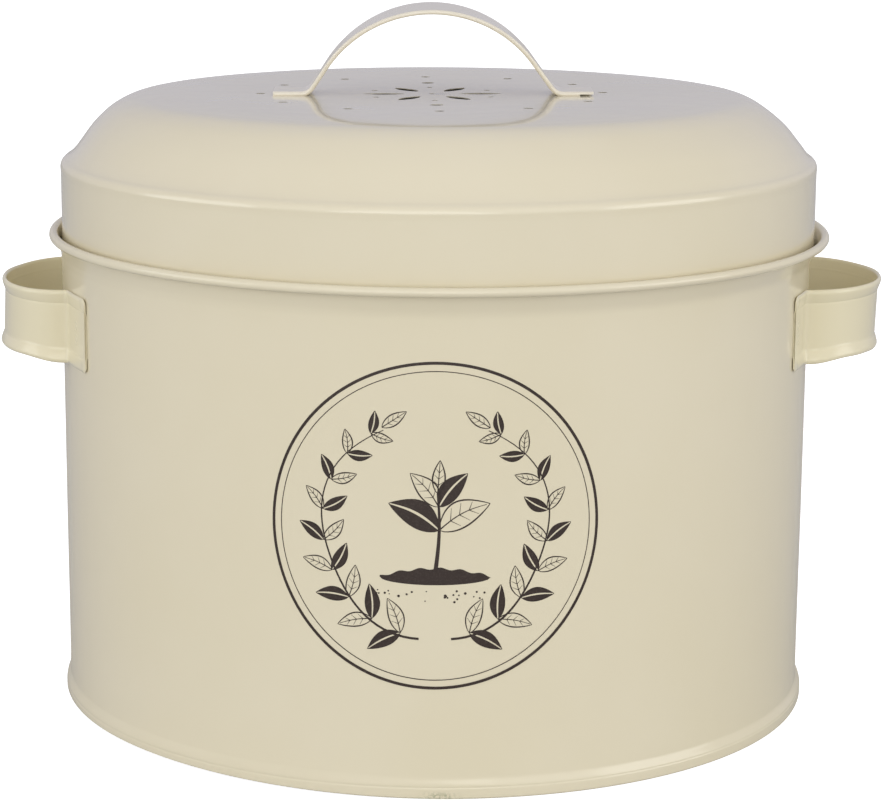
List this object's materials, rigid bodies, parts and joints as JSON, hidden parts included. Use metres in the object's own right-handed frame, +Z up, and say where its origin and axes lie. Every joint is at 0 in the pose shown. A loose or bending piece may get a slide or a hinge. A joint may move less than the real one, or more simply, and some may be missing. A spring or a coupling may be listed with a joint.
{
  "type": "compost bin",
  "caption": "Round lidded kitchen compost bin in painted sheet steel, with a vented lid, side handles, carbon filter and lift-out bucket with a bail.",
  "frame": {"origin": "centre of the foot ring, on the surface the bin stands on", "axes": "+Z up, -Y the front with the round label, the side handles on the X axis and the lid's handle along X"},
  "size_m": [0.2848, 0.25, 0.2221],
  "materials": {
    "cream_paint": "gloss cream paint baked on sheet steel",
    "grey_plastic": "fine matt grained polypropylene",
    "black_plastic": "satin moulded plastic",
    "carbon_pad": "open carbon-loaded foam",
    "zinc_wire": "bright zinc-plated wire",
    "label_ink": "printed dark brown ink"
  },
  "bodies": {
    "bin": {"body_wall": "cream_paint", "base_pan": "cream_paint", "side_handle_left": "cream_paint", "side_handle_right": "cream_paint"},
    "bucket": {"inner_bucket": "grey_plastic"},
    "bail": {"bucket_bail": "zinc_wire"},
    "grip": {"bail_grip": "black_plastic"},
    "lid": {"lid_shell": "cream_paint", "lid_handle": "cream_paint"},
    "filter_dish": {"filter_holder": "black_plastic"},
    "filter": {"carbon_filter": "carbon_pad"}
  },
  "joints": [
    {"name": "bucket_lift", "type": "slide", "parent": "bin", "child": "bucket", "axis": [0, 0, 1], "range_m": [0, 0.18]},
    {"name": "lid_lift", "type": "slide", "parent": "bucket", "child": "lid", "axis": [0, 0, 1], "range_m": [0, 0.3]},
    {"name": "bail_swing", "type": "hinge", "parent": "bucket", "child": "bail", "pos_m": [0, 0, 0.1478], "axis": [-1, 0, 0], "range_deg": [0, 180]},
    {"name": "grip_turn", "type": "hinge", "parent": "bail", "child": "grip", "pos_m": [0, -0.096, 0.1478], "axis": [1, 0, 0], "continuous": true},
    {"name": "holder_release", "type": "slide", "parent": "lid", "child": "filter_dish", "axis": [0, 0, -1], "range_m": [0, 0.03]},
    {"name": "filter_removal", "type": "slide", "parent": "filter_dish", "child": "filter", "axis": [0, 0, 1], "range_m": [0, 0.012]}
  ],
  "couplings": [
    {"joint": "bail_swing", "follows": "lid_lift", "rad_per_m": 10.47},
    {"joint": "filter_removal", "follows": "holder_release", "ratio": 0.4}
  ]
}
